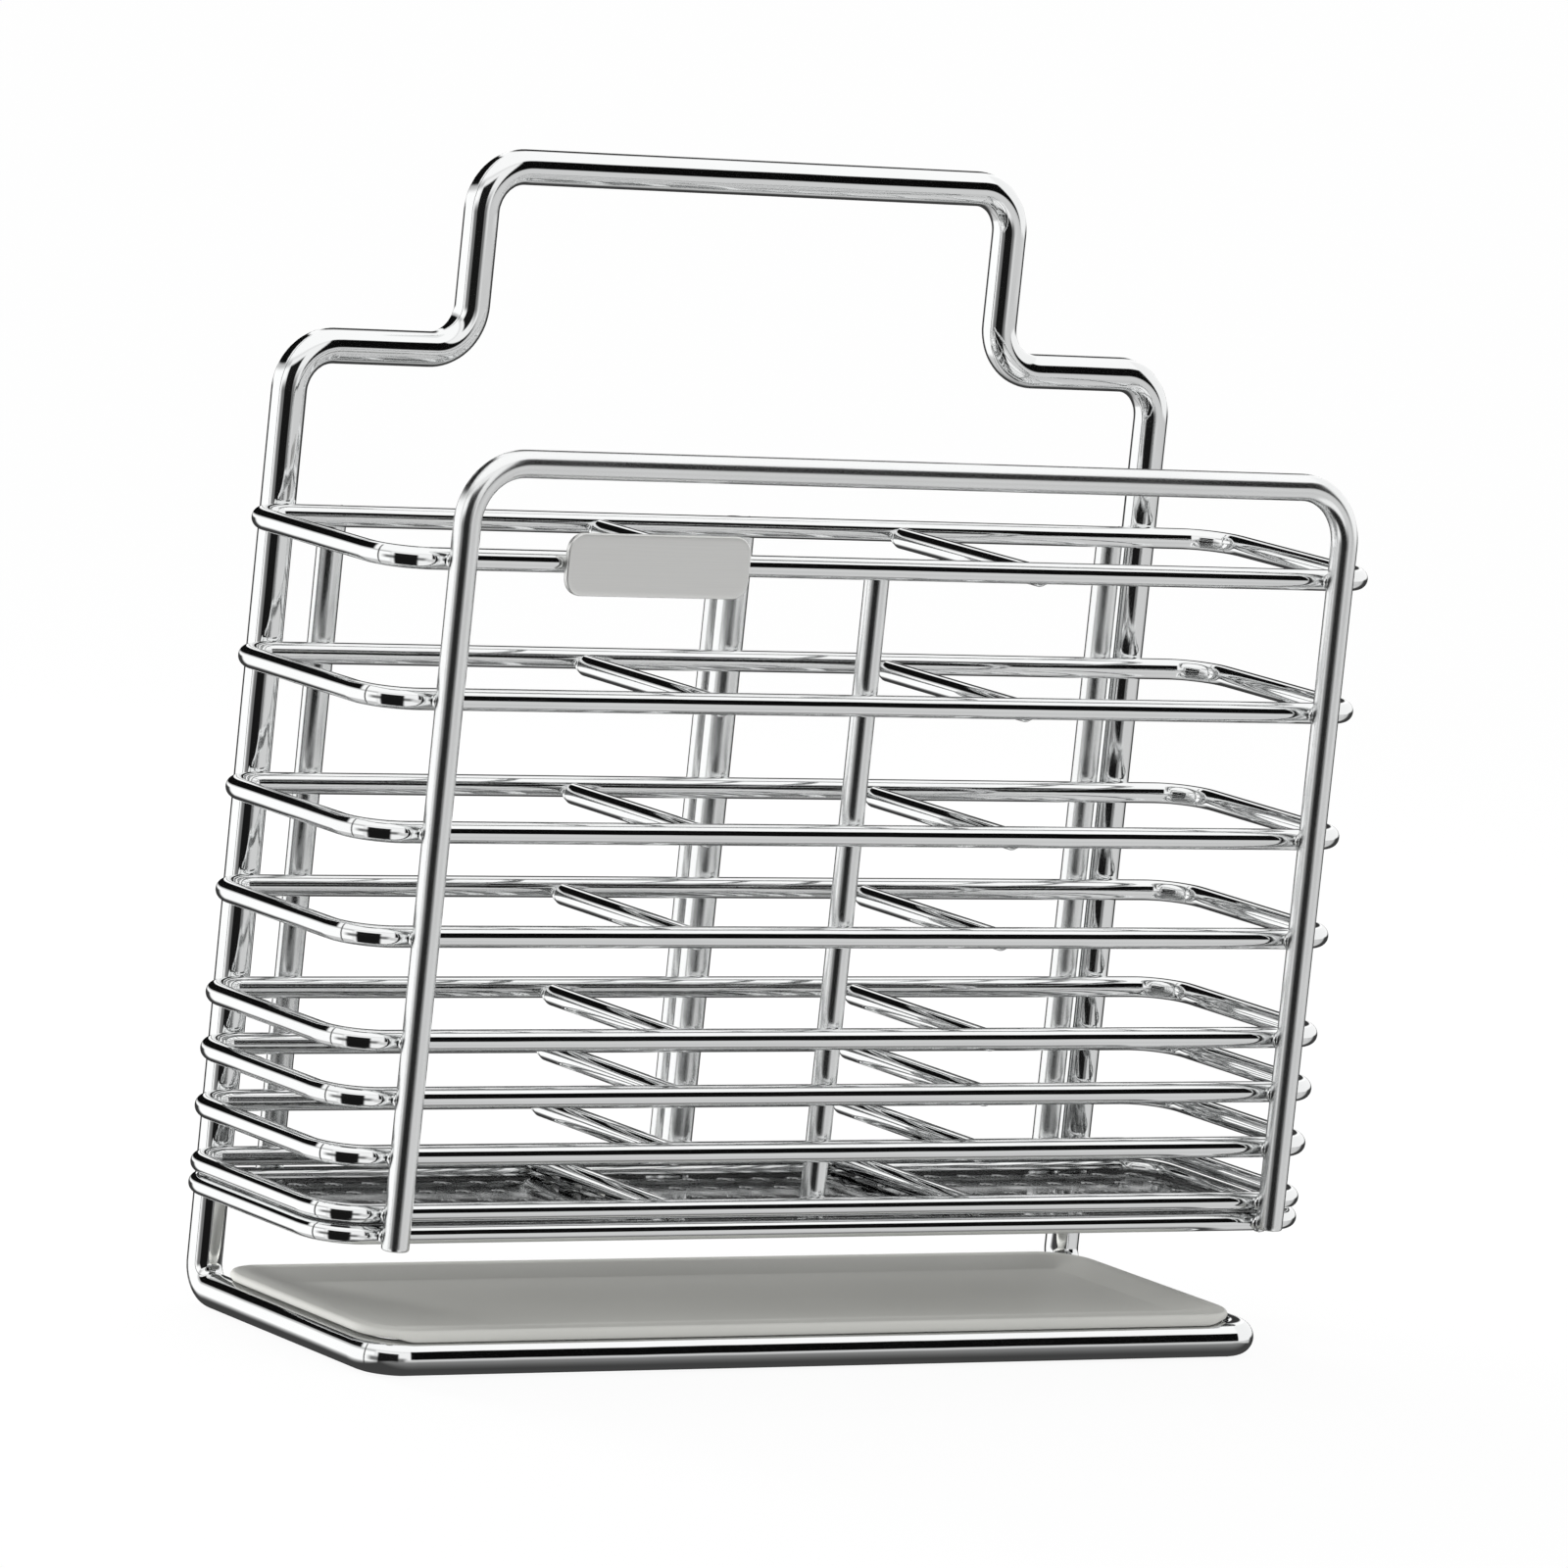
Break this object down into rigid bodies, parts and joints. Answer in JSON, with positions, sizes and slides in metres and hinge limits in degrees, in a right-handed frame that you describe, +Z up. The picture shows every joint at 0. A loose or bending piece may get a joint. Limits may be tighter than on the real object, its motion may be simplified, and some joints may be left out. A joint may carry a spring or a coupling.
{
  "type": "wall-mounted utensil holder",
  "caption": "Chromed wire caddy for cutlery and utensils, parted into compartments, with a wall-hanging handle, a bottom loop to stand on and a lift-out drip tray.",
  "frame": {"origin": "centre of the bounding box in X and Y, at the lowest line of the bottom loop", "axes": "+Z up, +X along the wall to the right as seen from the front, +Y back towards the wall"},
  "size_m": [0.209, 0.0697, 0.2038],
  "materials": {
    "frame_chrome": "bright chrome plating",
    "wire_chrome": "bright chrome plating",
    "ring_chrome": "bright chrome plating",
    "partition_chrome": "bright chrome plating",
    "plate_satin": "fine satin, blank",
    "floor_steel": "smooth perforated sheet",
    "tray_plastic": "matte warm grey"
  },
  "bodies": {
    "rack": {"frame": "frame_chrome", "front_arch": "wire_chrome", "front_centre_wire": "wire_chrome", "back_wire_left": "wire_chrome", "back_wire_right": "wire_chrome", "back_wire_middle": "wire_chrome", "back_wire_rear": "wire_chrome", "ring_1": "ring_chrome", "ring_2": "ring_chrome", "ring_3": "ring_chrome", "ring_4": "ring_chrome", "ring_5": "ring_chrome", "ring_6": "ring_chrome", "ring_7": "ring_chrome", "ring_8": "ring_chrome", "ring_9": "ring_chrome", "partition_left_1": "partition_chrome", "partition_left_2": "partition_chrome", "partition_left_3": "partition_chrome", "partition_left_4": "partition_chrome", "partition_left_5": "partition_chrome", "partition_left_6": "partition_chrome", "partition_left_7": "partition_chrome", "partition_left_8": "partition_chrome", "partition_right_1": "partition_chrome", "partition_right_2": "partition_chrome", "partition_right_3": "partition_chrome", "partition_right_4": "partition_chrome", "partition_right_5": "partition_chrome", "partition_right_6": "partition_chrome", "partition_right_7": "partition_chrome", "partition_right_8": "partition_chrome", "name_plate": "plate_satin", "basket_floor": "floor_steel"},
    "tray": {"drip_tray": "tray_plastic"}
  },
  "joints": [
    {"name": "tray_lift", "type": "slide", "parent": "rack", "child": "tray", "axis": [0, 0, 1], "range_m": [0, 0.012]}
  ]
}
